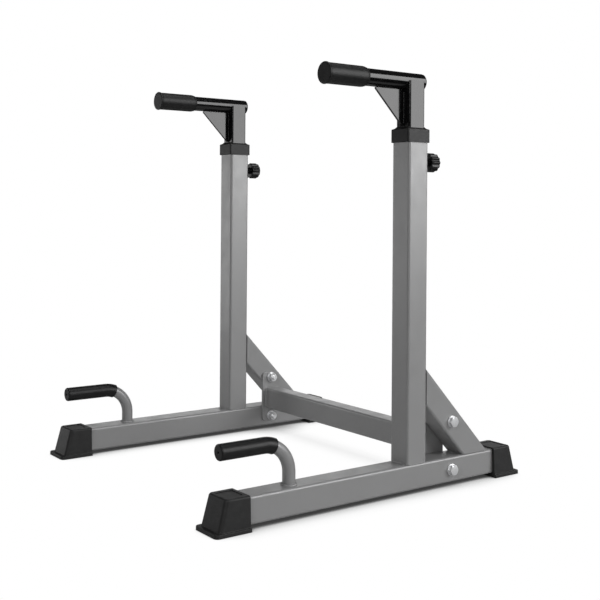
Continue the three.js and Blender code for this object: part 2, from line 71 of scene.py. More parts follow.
def newMaterial(name, color, roughness, metallic=0.0):
    material = bpy.data.materials.new(name)
    material.use_nodes = True
    shader = material.node_tree.nodes["Principled BSDF"]
    shader.inputs["Base Color"].default_value = (*color, 1)
    shader.inputs["Roughness"].default_value = roughness
    shader.inputs["Metallic"].default_value = metallic
    return material, shader


# The owner of the nodes is a material or the world.
def addNode(owner, kind, **inputs):
    node = owner.node_tree.nodes.new(kind)
    for name, value in inputs.items():
        node.inputs[name].default_value = value
    return node


def link(owner, source, target):
    owner.node_tree.links.new(source, target)


# Noise on the piece's own coordinates, with its scale in grains to the metre.
def grain(material, scale, detail=3.0):
    place = addNode(material, "ShaderNodeTexCoord")
    texture = addNode(material, "ShaderNodeTexNoise", Scale=scale, Detail=detail)
    link(material, place.outputs["Object"], texture.inputs["Vector"])
    return texture.outputs["Fac"]


# Turns a factor that runs from start to end into values that run from low to high. Most values
# of the noise lie between the start and end given here.
def ramp(owner, factor, low, high, start=0.35, end=0.65, smooth=False):
    node = addNode(owner, "ShaderNodeMapRange")
    node.interpolation_type = "SMOOTHSTEP" if smooth else "LINEAR"
    node.inputs["From Min"].default_value = start
    node.inputs["From Max"].default_value = end
    node.inputs["To Min"].default_value = low
    node.inputs["To Max"].default_value = high
    link(owner, factor, node.inputs["Value"])
    return node.outputs["Result"]


def tint(material, shader, scale, dark, light):
    mix = addNode(material, "ShaderNodeMix")
    mix.data_type = "RGBA"
    mix.inputs["A"].default_value = (*dark, 1)
    mix.inputs["B"].default_value = (*light, 1)
    link(material, ramp(material, grain(material, scale), 0, 1), mix.inputs["Factor"])
    link(material, mix.outputs["Result"], shader.inputs["Base Color"])


def varyRoughness(material, shader, scale, low, high):
    roughness = ramp(material, grain(material, scale), low, high)
    link(material, roughness, shader.inputs["Roughness"])


def bump(material, shader, height, depth):
    node = addNode(material, "ShaderNodeBump", Distance=depth)
    link(material, height, node.inputs["Height"])
    link(material, node.outputs["Normal"], shader.inputs["Normal"])


silverLook = {
    "color": (0.3, 0.3, 0.3),
    "dark": (0.29, 0.29, 0.292),
    "light": (0.36, 0.36, 0.362),
    "roughness": 0.4,
    "smoothest": 0.36,
    "roughest": 0.44,
    "metallic": 0.3,
    "flecks": 1400,  # to the metre, as the next two
    "clouds": 35,
    "peel": 700,
    "peelDetail": 2.0,
    "peelDepth": 0.03 * mm,
}
glossLook = {
    "color": (0.004, 0.004, 0.0042),
    "roughness": 0.12,
    "smoothest": 0.1,
    "roughest": 0.16,
    "gloss": 0.63,
    "clouds": 60,
    "peel": 260,
    "peelDetail": 1.0,
    "peelDepth": 0.02 * mm,
}
mouldedLook = {
    "lighten": 1.5,
    "clouds": 90,
    "patches": 400,
    "smoothest": 0.9,  # share of the roughness, as the next
    "roughest": 1.1,
    "grainDetail": 4.0,
}
platedLook = {
    "lighten": 1.15,
    "clouds": 500,
    "patches": 900,
    "smoothest": 0.8,
    "roughest": 1.25,
    "grain": 1100,
    "grainDetail": 2.0,
    "grainDepth": 0.01 * mm,
}


def silverPaint():
    look = silverLook
    material, shader = newMaterial(
        "silver powder coat", look["color"], look["roughness"], look["metallic"]
    )
    tint(material, shader, look["flecks"], look["dark"], look["light"])
    varyRoughness(material, shader, look["clouds"], look["smoothest"], look["roughest"])
    bump(material, shader, grain(material, look["peel"], look["peelDetail"]), look["peelDepth"])
    return material


def glossPaint():
    look = glossLook
    material, shader = newMaterial("gloss black paint", look["color"], look["roughness"])
    shader.inputs["Specular IOR Level"].default_value = look["gloss"]
    varyRoughness(material, shader, look["clouds"], look["smoothest"], look["roughest"])
    bump(material, shader, grain(material, look["peel"], look["peelDetail"]), look["peelDepth"])
    return material


def mouldedBlack(name, color, roughness, gloss, pitch, depth):
    look = mouldedLook
    material, shader = newMaterial(name, color, roughness)
    shader.inputs["Specular IOR Level"].default_value = gloss
    light = tuple(value * look["lighten"] for value in color)
    tint(material, shader, look["clouds"], color, light)
    smoothest = roughness * look["smoothest"]
    varyRoughness(material, shader, look["patches"], smoothest, roughness * look["roughest"])
    bump(material, shader, grain(material, 1 / pitch, look["grainDetail"]), depth)
    return material


def platedSteel(name, color, roughness):
    look = platedLook
    material, shader = newMaterial(name, color, roughness, metallic=1.0)
    light = tuple(min(value * look["lighten"], 1) for value in color)
    tint(material, shader, look["clouds"], color, light)
    smoothest = roughness * look["smoothest"]
    varyRoughness(material, shader, look["patches"], smoothest, roughness * look["roughest"])
    bump(material, shader, grain(material, look["grain"], look["grainDetail"]), look["grainDepth"])
    return material


materials = {
    "frame_paint": silverPaint(),
    "gloss_black": glossPaint(),
    "grip_rubber": mouldedBlack(
        "grip rubber",
        color=(0.006, 0.006, 0.0062),
        roughness=0.46,
        gloss=0.42,
        pitch=0.8 * mm,
        depth=0.03 * mm,
    ),
    "foam": mouldedBlack(
        "closed-cell foam",
        color=(0.005, 0.005, 0.0052),
        roughness=0.4,
        gloss=0.36,
        pitch=0.7 * mm,
        depth=0.05 * mm,
    ),
    "foot_rubber": mouldedBlack(
        "foot rubber",
        color=(0.01, 0.01, 0.0102),
        roughness=0.55,
        gloss=0.5,
        pitch=1 * mm,
        depth=0.03 * mm,
    ),
    "black_plastic": mouldedBlack(
        "satin black plastic",
        color=(0.008, 0.008, 0.0082),
        roughness=0.46,
        gloss=0.4,
        pitch=0.5 * mm,
        depth=0.02 * mm,
    ),
    "knob_plastic": mouldedBlack(
        "gloss black plastic",
        color=(0.004, 0.004, 0.0042),
        roughness=0.3,
        gloss=0.4,
        pitch=1.5 * mm,
        depth=0.01 * mm,
    ),
    # Dark steel. It also colours the pin barrels dark, as painted shade in the knobs' hollows.
    "black_oxide": platedSteel("blackened steel and painted shade", color=(0.02, 0.02, 0.021), roughness=0.5),
    "zinc": platedSteel("zinc plate", color=(0.84, 0.845, 0.855), roughness=0.46),
    "bright_steel": platedSteel("turned steel", color=(0.58, 0.585, 0.595), roughness=0.3),
}
slotOf = {entry["node"]: entry["material_slot"] for entry in frame["record"]["subparts"]}
finishOf = dict(slotOf)
for side in sides:
    finishOf[f"{side}_pin_barrel"] = "black_oxide"  # zinc in the record; given the dark finish as painted shade inside the knob's hollow
for name, node in nodes.items():
    for slot in node.material_slots:
        slot.material = materials[finishOf[name]]
print("materials made:", len(materials))


# Shaping

mergeGap = 0.002 * mm  # points nearer than this are one
levelGap = 0.001 * mm  # an edge's ends that differ by less are level
creaseAngle = 38  # degrees between faces, from which an edge stays crisp
cornerSteps = 8
edgeSteps = 4
turnSteps = 5  # round each rounded point of a turned profile
fineSides = 96
plainSides = 64
smallSides = 48


# Makes a piece that stands for a node, and rides with it.
def finishPiece(bm, node, suffix="skin", sharp=creaseAngle, replaces=True):
    bmesh.ops.remove_doubles(bm, verts=bm.verts, dist=mergeGap)
    bmesh.ops.recalc_face_normals(bm, faces=bm.faces)
    mesh = bpy.data.meshes.new(f"{node}_{suffix}")
    bm.to_mesh(mesh)
    bm.free()
    mesh.shade_smooth()
    mesh.set_sharp_from_angle(angle=math.radians(sharp))
    mesh.materials.append(materials[finishOf[node]])
    piece = bpy.data.objects.new(mesh.name, mesh)
    bpy.context.scene.collection.objects.link(piece)
    shading = piece.modifiers.new("Even shading", "WEIGHTED_NORMAL")
    shading.keep_sharp = True
    shading.weight = 100
    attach(piece, nodes[node]["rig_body"])
    if replaces:
        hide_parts(node)
    return piece


def middle(node):
    low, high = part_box(node)
    return (low + high) / 2


def size(node):
    low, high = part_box(node)
    return high - low


def vertsOf(made):
    return [item for item in made if isinstance(item, bmesh.types.BMVert)]


def edgesOf(made):
    return [item for item in made if isinstance(item, bmesh.types.BMEdge)]


def faceOf(made):
    return next(item for item in made if isinstance(item, bmesh.types.BMFace))


def rotate(bm, angle, axis):
    turn = Matrix.Rotation(angle, 3, axis)
    bmesh.ops.rotate(bm, verts=bm.verts, cent=(0, 0, 0), matrix=turn)


# Lays a shape that stands along Z along another axis.
def turnTo(bm, axis):
    if axis == "X":
        rotate(bm, math.pi / 2, "Y")
    elif axis == "Y":
        rotate(bm, -math.pi / 2, "X")


def moveTo(bm, place):
    bmesh.ops.translate(bm, verts=bm.verts, vec=place)


# Lays a turned shape along Y from the front of its node's box, and finishes it.
def finishAlongY(bm, node):
    turnTo(bm, "Y")
    moveTo(bm, (middle(node).x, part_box(node)[0].y, middle(node).z))
    finishPiece(bm, node)


def roundOff(bm, geom, radius, segments, affect="EDGES"):
    bmesh.ops.bevel(
        bm,
        geom=geom,
        offset=radius,
        offset_type="OFFSET",
        segments=segments,
        profile=0.5,
        affect=affect,
        material=-1,
    )


def roundedFace(bm, width, depth, radius):
    verts = bmesh.ops.create_grid(bm, x_segments=1, y_segments=1, size=0.5)["verts"]
    bmesh.ops.scale(bm, vec=(width, depth, 1), verts=verts)
    roundOff(bm, verts, radius, cornerSteps, "VERTICES")
    bm.faces.ensure_lookup_table()
    return bm.faces[0]


# Draws the face up and moves its corners. A positive inY moves them in and a negative one out,
# but inX moves them in whatever its sign.
def raiseFace(bm, face, rise, inX=0.0, inY=0.0):
    made = bmesh.ops.extrude_face_region(bm, geom=[face, *face.edges])["geom"]
    for v in vertsOf(made):
        v.co.x -= math.copysign(inX, v.co.x)
        v.co.y -= inY if v.co.y > 0 else -inY
        v.co.z += rise
    return faceOf(made)


# Upright block on z = 0 with rounded corners and, where asked, rounded ends.
def roundedBlock(width, depth, height, radius, edge=0.0):
    bm = bmesh.new()
    raiseFace(bm, roundedFace(bm, width, depth, radius), height)
    bmesh.ops.recalc_face_normals(bm, faces=bm.faces)
    if edge:
        rims = [e for e in bm.edges if abs(e.verts[0].co.z - e.verts[1].co.z) < levelGap]
        roundOff(bm, rims, edge, edgeSteps)
    return bm


def plainBlock(extent, place):
    bm = bmesh.new()
    bmesh.ops.create_cube(bm, size=1)
    bmesh.ops.scale(bm, vec=extent, verts=bm.verts)
    moveTo(bm, place)
    return bm


# Cuts, joins or intersects two closed shapes.
def combine(bm, other, operation="DIFFERENCE"):
    pair = []
    for source in (bm, other):
        bmesh.ops.remove_doubles(source, verts=source.verts, dist=mergeGap)
        bmesh.ops.dissolve_degenerate(source, dist=mergeGap, edges=source.edges)
        bmesh.ops.recalc_face_normals(source, faces=source.faces)
        mesh = bpy.data.meshes.new("tool")
        source.to_mesh(mesh)
        source.free()
        pair.append(bpy.data.objects.new("tool", mesh))
        bpy.context.scene.collection.objects.link(pair[-1])
    cut = pair[0].modifiers.new("Cut", "BOOLEAN")
    cut.operation = operation
    cut.object = pair[1]
    cut.solver = "EXACT"
    bpy.context.view_layer.update()
    result = bmesh.new()
    result.from_object(pair[0], bpy.context.evaluated_depsgraph_get())
    for tool in pair:
        mesh = tool.data
        bpy.data.objects.remove(tool)
        bpy.data.meshes.remove(mesh)
    return result


def spinRound(bm, steps):
    bmesh.ops.spin(
        bm,
        geom=bm.verts[:] + bm.edges[:],
        cent=(0, 0, 0),
        axis=(0, 0, 1),
        angle=math.tau,
        steps=steps,
        use_merge=True,
    )


# Spins points of (radius, height, rounding) round Z. A ring's profile is closed; the others
# start and end on Z.
def turned(profile, segments=plainSides, closed=False):
    bm = bmesh.new()
    verts = [bm.verts.new((point[0], 0, point[1])) for point in profile]
    for pair in zip(verts, verts[1:] + verts[:1] if closed else verts[1:]):
        bm.edges.new(pair)
    for v, point in zip(verts, profile):
        if len(point) > 2:
            roundOff(bm, [v], point[2], turnSteps, "VERTICES")
    spinRound(bm, segments)
    bmesh.ops.remove_doubles(bm, verts=bm.verts, dist=mergeGap)
    bmesh.ops.recalc_face_normals(bm, faces=bm.faces)
    return bm


# Square tubes of the side frames

squareTube = {"corner": 5 * mm, "wall": 2 * mm, "overrun": 0.1}  # overrun as a share of the length
boltHole = {"radius": 6.4 * mm, "length": 80 * mm}
pinHole = {"radius": 5.4 * mm, "length": 20 * mm}
braceLook = {"spareLength": 1.6}  # share of the length before the brace is trimmed


# Open tube along Z, with its middle at the origin.
def tubeBlock(width, depth, length, corner, wall):
    overrun = length * squareTube["overrun"]
    bm = roundedBlock(width, depth, length, corner)
    bore = roundedBlock(width - wall * 2, depth - wall * 2, length + overrun * 2, corner - wall)
    moveTo(bore, (0, 0, -overrun))
    tube = combine(bm, bore)
    moveTo(tube, (0, 0, -length / 2))
    return tube


def tubeOn(node, axis, look=squareTube):
    x, y, z = size(node)
    width, depth, length = {"X": (z, y, x), "Y": (x, z, y), "Z": (x, y, z)}[axis]
    tube = tubeBlock(width, depth, length, look["corner"], look["wall"])
    turnTo(tube, axis)
    moveTo(tube, middle(node))
    return tube


# Solid bar that cuts a round hole, with its middle at the place.
def boreAlong(axis, place, radius, length):
    half = length / 2
    bm = turned([(0, -half), (radius, -half), (radius, half), (0, half)], smallSides)
    turnTo(bm, axis)
    moveTo(bm, place)
    return bm


def boltBore(place):
    return boreAlong("X", place, boltHole["radius"], boltHole["length"])


def pinBore(place):
    return boreAlong("Y", place, pinHole["radius"], pinHole["length"])


def makeFrameTubes(side):
    base = f"{side}_base_tube"
    lowerBolt = middle(f"{side}_lower_bolt")
    finishPiece(combine(tubeOn(base, "Y"), boltBore(lowerBolt)), base)

    upright = f"{side}_upright_tube"
    pin = middle(f"{side}_plunger_pin")
    backHole = pinBore(Vector((pin.x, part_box(upright)[1].y, pin.z)))
    finishPiece(combine(tubeOn(upright, "Z"), backHole), upright)

    brace = f"{side}_brace_tube"
    upperBolt = middle(f"{side}_upper_bolt")
    finishPiece(combine(makeBrace(brace), boltBore(upperBolt)), brace)


# A long tube on its slope, trimmed to the box that its node fills.
def makeBrace(node):
    low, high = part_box(node)
    reach = high - low
    slope = math.atan2(reach.z, reach.y)
    width = reach.x
    length = reach.length * braceLook["spareLength"]
    tube = tubeBlock(width, width, length, squareTube["corner"], squareTube["wall"])
    rotate(tube, math.pi / 2 - slope, "X")
    inward = Vector((0, math.sin(slope), math.cos(slope)))
    moveTo(tube, middle(node) - inward * width / 2)
    extent = (width * 2, reach.y * 2, reach.z * 2)
    room = plainBlock(extent, (middle(node).x, low.y + reach.y, low.z + reach.z))
    return combine(tube, room, "INTERSECT")


for side in sides:
    makeFrameTubes(side)
print("frame tubes made")


# Flange plates and cross beam

plateLook = {"corner": 8 * mm, "edge": 0.8 * mm}


def makePlate(side):
    node = f"{side}_flange_plate"
    extent = size(node)
    plate = roundedBlock(extent.z, extent.y, extent.x, plateLook["corner"], plateLook["edge"])
    moveTo(plate, (0, 0, -extent.x / 2))
    turnTo(plate, "X")
    moveTo(plate, middle(node))
    for level in ("lower", "upper"):
        plate = combine(plate, boltBore(middle(f"{side}_{level}_bolt")))
    finishPiece(plate, node)


for side in sides:
    makePlate(side)
finishPiece(tubeOn("cross_beam", "X"), "cross_beam")
print("beam and plates made")


# Height posts, gussets and dip bars

postLook = {
    "corner": 4 * mm,
    "wall": 2 * mm,
    "holes": 5,
    "holePitch": 50 * mm,
    "saddleLength": 400 * mm,  # of the bar that cuts the saddle
}
gussetLook = {"nose": 3 * mm, "edge": 0.6 * mm, "edgeSteps": 3}
barLook = {"wall": 2 * mm, "fit": 0.3 * mm, "edge": 0.5 * mm}
plugLook = {"stemInset": 2 * mm, "rounding": 1.4 * mm}
gripLook = {
    "wall": 2.7 * mm,
    "rimWidth": 5 * mm,
    "rimHeight": 1.2 * mm,
    "rimFlat": 0.7,  # share of the rim's width
    "rimBack": 0.5 * mm,
    "rimFoot": 0.8 * mm,
    "endRounding": 1.6 * mm,
    "dish": 0.4 * mm,
    "dishRadius": 0.72,  # share of the rim's radius
    "dishRounding": 2 * mm,
    "taper": 7 * mm,
    "taperRounding": 3 * mm,
    "lip": 0.3,  # share of the wall left at the inner end
    "lipRounding": 0.4 * mm,
}


def makePost(side):
    node = f"{side}_height_post"
    saddle = size(f"{side}_dip_bar").x / 2 + barLook["fit"]
    bar = boreAlong("Y", middle(f"{side}_dip_bar"), saddle, postLook["saddleLength"])
    post = combine(tubeOn(node, "Z", postLook), bar)
    pin = middle(f"{side}_plunger_pin")
    for step in range(postLook["holes"]):
        level = pin.z - postLook["holePitch"] * step
        post = combine(post, pinBore(Vector((pin.x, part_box(node)[1].y, level))))
    finishPiece(post, node)


def makeGusset(side):
    node = f"{side}_bar_gusset"
    low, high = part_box(node)
    nose = gussetLook["nose"]
    outline = [
        (high.y, low.z),
        (high.y, high.z),
        (low.y, high.z),
        (low.y, high.z - nose),
        (high.y - nose, low.z),
    ]
    bm = bmesh.new()
    face = bm.faces.new([bm.verts.new((low.x, y, z)) for y, z in outline])
    made = bmesh.ops.extrude_face_region(bm, geom=[face, *face.edges])["geom"]
    bmesh.ops.translate(bm, verts=vertsOf(made), vec=(high.x - low.x, 0, 0))
    bmesh.ops.recalc_face_normals(bm, faces=bm.faces)
    roundOff(bm, bm.edges[:], gussetLook["edge"], gussetLook["edgeSteps"])
    finishPiece(bm, node)


def makeBar(side):
    node = f"{side}_dip_bar"
    half = size(node).y / 2
    radius = size(node).x / 2
    inner = radius - barLook["wall"]
    edge = barLook["edge"]
    profile = [(inner, -half), (radius, -half, edge), (radius, half, edge), (inner, half)]
    bar = turned(profile, fineSides, closed=True)
    turnTo(bar, "Y")
    moveTo(bar, middle(node))
    finishPiece(bar, node)


def makeEndPlug(side):
    node = f"{side}_dip_bar_end_plug"
    low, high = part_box(node)
    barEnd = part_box(f"{side}_dip_bar")[1].y
    radius = size(node).x / 2
    stem = radius - plugLook["stemInset"]
    profile = [
        (0, low.y - barEnd),
        (stem, low.y - barEnd),
        (stem, 0),
        (radius, 0),
        (radius, high.y - barEnd, plugLook["rounding"]),
        (0, high.y - barEnd),
    ]
    plug = turned(profile, fineSides)
    turnTo(plug, "Y")
    moveTo(plug, (middle(node).x, barEnd, middle(node).z))
    finishPiece(plug, node)


def makeDipGrip(side):
    node = f"{side}_dip_grip"
    look = gripLook
    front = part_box(node)[0].y
    length = size(node).y
    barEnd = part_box(f"{side}_dip_bar")[0].y - front
    rim = size(node).x / 2
    body = rim - look["rimHeight"]
    bore = body - look["wall"]
    profile = [
        (0, look["dish"]),
        (rim * look["dishRadius"], 0, look["dishRounding"]),
        (rim, 0, look["endRounding"]),
        (rim, look["rimWidth"] * look["rimFlat"], look["rimBack"]),
        (body, look["rimWidth"], look["rimFoot"]),
        (body, length - look["taper"], look["taperRounding"]),
        (bore + look["wall"] * look["lip"], length, look["lipRounding"]),
        (bore, length),
        (bore, barEnd),
        (0, barEnd),
    ]
    finishAlongY(turned(profile, fineSides), node)


for side in sides:
    makePost(side)
    makeGusset(side)
    makeBar(side)
    makeEndPlug(side)
    makeDipGrip(side)
print("posts and dip bars made")


# Push-up handles

handleLook = {"bend": 55 * mm, "bendSteps": 24}
padLook = {
    "turn": math.pi / 8,  # of the bend that the pad covers
    "turnSteps": 10,
    "fullTurn": 0.96,  # share of the turn with the full section
    "endSteps": ((0.03, 0.95), (0.01, 0.84)),  # further shares, and what each does to the section
    "vent": 2.5 * mm,
    "ventDepth": 5 * mm,
    "ventLip": 0.3 * mm,
    "ventRounding": 0.8 * mm,
    "endRounding": 3 * mm,
}


# Spins a ring of edges round the bend and gives the ring at its end.
def sweepRing(bm, ring, bendPlace, turn, steps):
    made = bmesh.ops.spin(
        bm, geom=ring, cent=bendPlace, axis=(1, 0, 0), angle=-turn, steps=steps
    )["geom_last"]
    return edgesOf(made)


def stretchRing(bm, ring, vec):
    made = bmesh.ops.extrude_edge_only(bm, edges=ring)["geom"]
    bmesh.ops.translate(bm, verts=vertsOf(made), vec=vec)
    return edgesOf(made)


def makeHandleTube(side):
    node = f"{side}_pushup_tube"
    low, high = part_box(node)
    x = middle(node).x
    radius = size(node).x / 2
    axisLevel = high.z - radius
    bendStart = high.y - radius - handleLook["bend"]
    bm = bmesh.new()
    bmesh.ops.create_circle(bm, cap_ends=False, radius=radius, segments=smallSides)
    rotate(bm, math.pi / 2, "X")
    moveTo(bm, (x, low.y, axisLevel))
    ring = stretchRing(bm, bm.edges[:], (0, bendStart - low.y, 0))
    bendPlace = (x, bendStart, axisLevel - handleLook["bend"])
    ring = sweepRing(bm, ring, bendPlace, math.pi / 2, handleLook["bendSteps"])
    stretchRing(bm, ring, (0, 0, low.z - bendPlace[2]))
    bmesh.ops.holes_fill(bm, edges=bm.edges, sides=0)
    finishPiece(bm, node)


def shrinkRing(ring, share):
    verts = list({v for e in ring for v in e.verts})
    centre = sum((v.co for v in verts), Vector()) / len(verts)
    for v in verts:
        v.co = centre + (v.co - centre) * share


# Foam sleeve: its closed end is turned, and the rest follows the tube round the start of its bend.
def makeHandlePad(side):
    node = f"{side}_pushup_grip"
    tube = f"{side}_pushup_tube"
    look = padLook
    low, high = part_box(node)
    outer = size(node).x / 2
    axisLevel = high.z - outer
    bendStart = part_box(tube)[1].y - size(tube).x / 2 - handleLook["bend"]
    vent = look["vent"]
    profile = [
        (0, look["ventDepth"]),
        (vent, look["ventDepth"]),
        (vent, look["ventLip"], look["ventRounding"]),
        (outer, 0, look["endRounding"]),
        (outer, bendStart - low.y),
    ]
    bm = turned(profile)
    turnTo(bm, "Y")
    moveTo(bm, (middle(node).x, low.y, axisLevel))
    ring = [e for e in bm.edges if len(e.link_faces) == 1]
    bendPlace = (middle(node).x, bendStart, axisLevel - handleLook["bend"])
    ring = sweepRing(bm, ring, bendPlace, look["turn"] * look["fullTurn"], look["turnSteps"])
    for turn, share in look["endSteps"]:
        ring = sweepRing(bm, ring, bendPlace, look["turn"] * turn, 1)
        shrinkRing(ring, share)
    bmesh.ops.holes_fill(bm, edges=bm.edges, sides=0)
    finishPiece(bm, node)


for side in sides:
    makeHandleTube(side)
    makeHandlePad(side)
print("push-up handles made")


# Rubber feet

footLook = {
    "flange": 7 * mm,
    "rim": 3.5 * mm,
    "lip": 9 * mm,
    "sideLean": 2 * mm,
    "noseLean": 14 * mm,
    "corner": 8 * mm,
    "flangeEdge": 1.2 * mm,
    "topEdge": 3.5 * mm,
    "edgeSplit": 1.5,  # times the flange: edges above it are rounded as top edges
    "flattest": 0.3,  # least angle of an edge that is rounded, in radians
    "soleGap": 0.01 * mm,
    "sole": 7.7 * mm,
    "socket": 50.6 * mm,
    "socketCorner": 5.3 * mm,
    "insert": 44.8 * mm,
    "panelWidth": 38 * mm,
    "panelLength": 35 * mm,
    "panelPlace": 24.5 * mm,
    "panelCorner": 4 * mm,
    "panelDepth": 1 * mm,
}


# Level edges above the sole at which two faces meet at an angle.
def levelEdges(bm, look):
    found = []
    for e in bm.edges:
        start, end = (v.co.z for v in e.verts)
        if abs(start - end) < look["soleGap"] and start > look["soleGap"]:
            if e.is_manifold and e.calc_face_angle() > look["flattest"]:
                found.append(e)
    return found


# Drawn double, with a nose at both ends, for halving.
def footBody(extent, look):
    bm = bmesh.new()
    face = roundedFace(bm, extent.x, extent.y * 2, look["corner"])
    face = raiseFace(bm, face, look["flange"])
    face = raiseFace(bm, face, 0, look["rim"], look["lip"])
    raiseFace(bm, face, extent.z - look["flange"], look["sideLean"], look["noseLean"])
    bmesh.ops.recalc_face_normals(bm, faces=bm.faces)
    edges = levelEdges(bm, look)
    split = look["flange"] * look["edgeSplit"]
    rims = [e for e in edges if e.verts[0].co.z < split]
    tops = [e for e in edges if e.verts[0].co.z > split]
    roundOff(bm, rims, look["flangeEdge"], edgeSteps)
    roundOff(bm, tops, look["topEdge"], edgeSteps)
    return bm


def makeFoot(side, end):
    node = f"{side}_{end}_foot"
    look = footLook
    low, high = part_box(node)
    extent = high - low
    half = plainBlock((extent.x * 2, extent.y * 2, extent.z * 4), (0, extent.y, 0))
    bm = combine(footBody(extent, look), half, "INTERSECT")

    wide = look["socket"]
    socket = roundedBlock(wide, wide, look["insert"] * 2, look["socketCorner"])
    moveTo(socket, (0, 0, -look["insert"]))
    turnTo(socket, "Y")
    moveTo(socket, (0, 0, look["sole"] + wide / 2))
    bm = combine(bm, socket)

    depth = look["panelDepth"]
    panel = roundedBlock(look["panelWidth"], look["panelLength"], depth * 2, look["panelCorner"])
    moveTo(panel, (0, look["panelPlace"], extent.z - depth))
    bm = combine(bm, panel)
    if end == "front":
        rotate(bm, math.pi, "Z")
    moveTo(bm, (middle(node).x, high.y if end == "front" else low.y, low.z))
    finishPiece(bm, node)


for side in sides:
    for end in ("front", "rear"):
        makeFoot(side, end)
print("feet made")


# Collar bushings

collarLook = {
    "skirt": 20 * mm,
    "shoulder": 6.2 * mm,
    "slope": 4.8 * mm,
    "slopeSteps": ((0.3, 0.5), (0.7, 0.5)),  # shares of its height and of its way in
    "ring": 0.9 * mm,
    "corner": 5 * mm,
    "ease": 1.5 * mm,
    "easeSteps": 4,
    "pocket": 50.6 * mm,
    "pocketCorner": 5.3 * mm,
    "sleeve": 45.2 * mm,
    "sleeveCorner": 3 * mm,
    "bore": 40.8 * mm,
    "boreCorner": 4.4 * mm,
    "boreLength": 200 * mm,
}


# Steps of a quarter round: how far each goes on the side that starts slowly, and on the other.
def quarterRound(radius, steps):
    turns = [step / steps * math.pi / 2 for step in range(steps + 1)]
    for turn, after in zip(turns, turns[1:]):
        slow = (math.cos(turn) - math.cos(after)) * radius
        quick = (math.sin(after) - math.sin(turn)) * radius
        yield slow, quick


# Known fault: raiseFace moves the first four steps in across X, where they should go out. So the
# skirt is 3 mm too narrow at each side across X, and the slope runs into the bore there.
def collarBody(wide, look):
    ease = look["ease"]
    bm = bmesh.new()
    face = roundedFace(bm, wide - ease * 2, wide - ease * 2, look["corner"] - ease)
    for slow, quick in quarterRound(ease, look["easeSteps"]):
        face = raiseFace(bm, face, slow, -quick, -quick)
    face = raiseFace(bm, face, look["skirt"] + look["shoulder"] - ease * 2)
    for slow, quick in quarterRound(ease, look["easeSteps"]):
        face = raiseFace(bm, face, quick, slow, slow)
    inward = wide / 2 - look["bore"] / 2 - look["ring"] - ease
    for rise, share in look["slopeSteps"]:
        face = raiseFace(bm, face, look["slope"] * rise, inward * share, inward * share)
    return bm


def squareBlock(width, length, corner, start):
    bm = roundedBlock(width, width, length, corner)
    moveTo(bm, (0, 0, start))
    return bm


def makeCollar(side):
    node = f"{side}_collar_bushing"
    look = collarLook
    low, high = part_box(node)
    skirtFoot = high.z - look["skirt"] - look["shoulder"] - look["slope"]
    skirt = look["skirt"]
    bm = collarBody(high.x - low.x, look)
    bm = combine(bm, squareBlock(look["pocket"], skirt * 2, look["pocketCorner"], -skirt))
    length = high.z - low.z - look["slope"] - look["shoulder"]
    sleeve = squareBlock(look["sleeve"], length, look["sleeveCorner"], low.z - skirtFoot)
    bm = combine(bm, sleeve, "UNION")
    length = look["boreLength"]
    bm = combine(bm, squareBlock(look["bore"], length, look["boreCorner"], -length / 2))
    moveTo(bm, (middle(node).x, middle(node).y, skirtFoot))
    finishPiece(bm, node)


for side in sides:
    makeCollar(side)
print("collars made")


# Pull-pins

knobLook = {
    "flutes": 12,
    "fluteDepth": 2.8 * mm,
    "fluteSides": 10,
    "fluteGap": 0.2 * mm,  # between the hollow and where the flutes act
    "dome": 8 * mm,
    "domeSteps": 8,
    "hollow": 9 * mm,
    "core": 0.67,  # share of the length at which the hollow ends
    "footRounding": 2 * mm,
}
barrelLook = {
    "pitch": 1.5 * mm,
    "threadStart": 1 * mm,
    "threadEnd": 2 * mm,
    "chamfer": 0.5 * mm,
    "chamber": 6.9 * mm,
    "guide": 4.4 * mm,
    "guideWall": 2.3 * mm,
}
weldNutLook = {"fit": 0.3 * mm, "outerEdge": 1 * mm, "innerEdge": 0.5 * mm}
pinLook = {
    "tip": 5 * mm,
    "tipRounding": 1.8 * mm,
    "stem": 4 * mm,
    "shoulder": 6.5 * mm,
    "shoulderEdge": 0.3 * mm,
    "shoulderStart": 10.6 * mm,  # behind the upright's back
    "shoulderEnd": 13.6 * mm,
}
threadDepth = 0.45  # share of the pitch


# Profile points of a run of thread, as close grooves.
def threaded(radius, start, end, pitch):
    count = int((end - start) / pitch)
    points = []
    for step in range(count):
        points.append((radius, start + pitch * step))
        points.append((radius - pitch * threadDepth, start + pitch * (step + 0.5)))
    return points + [(radius, start + pitch * count)]


# Presses the flutes into a turned knob; they run out over its dome.
def fluteKnob(bm, radius, length, core, look):
    for v in bm.verts:
        reach = math.hypot(v.co.x, v.co.y)
        if reach > look["hollow"] + look["fluteGap"] or v.co.z > core + look["fluteGap"]:
            dip = (1 - math.cos(math.atan2(v.co.y, v.co.x) * look["flutes"])) / 2
            fade = min(1, max(0, (length - v.co.z) / look["dome"]))
            share = 1 - dip * fade * look["fluteDepth"] / radius
            v.co.x *= share
            v.co.y *= share


def makeKnob(side):
    node = f"{side}_pull_knob"
    look = knobLook
    radius = max(size(node).x, size(node).z) / 2
    length = size(node).y
    dome = look["dome"]
    core = length * look["core"]
    rise = []
    for step in range(look["domeSteps"]):
        turn = math.pi / 2 * step / look["domeSteps"]
        rise.append((radius * math.cos(turn), length - dome + dome * math.sin(turn)))
    hollow = [(0, core), (look["hollow"], core), (look["hollow"], 0)]
    profile = [*hollow, (radius, 0, look["footRounding"]), *rise, (0, length)]
    bm = turned(profile, look["flutes"] * look["fluteSides"])
    fluteKnob(bm, radius, length, core, look)
    finishAlongY(bm, node)


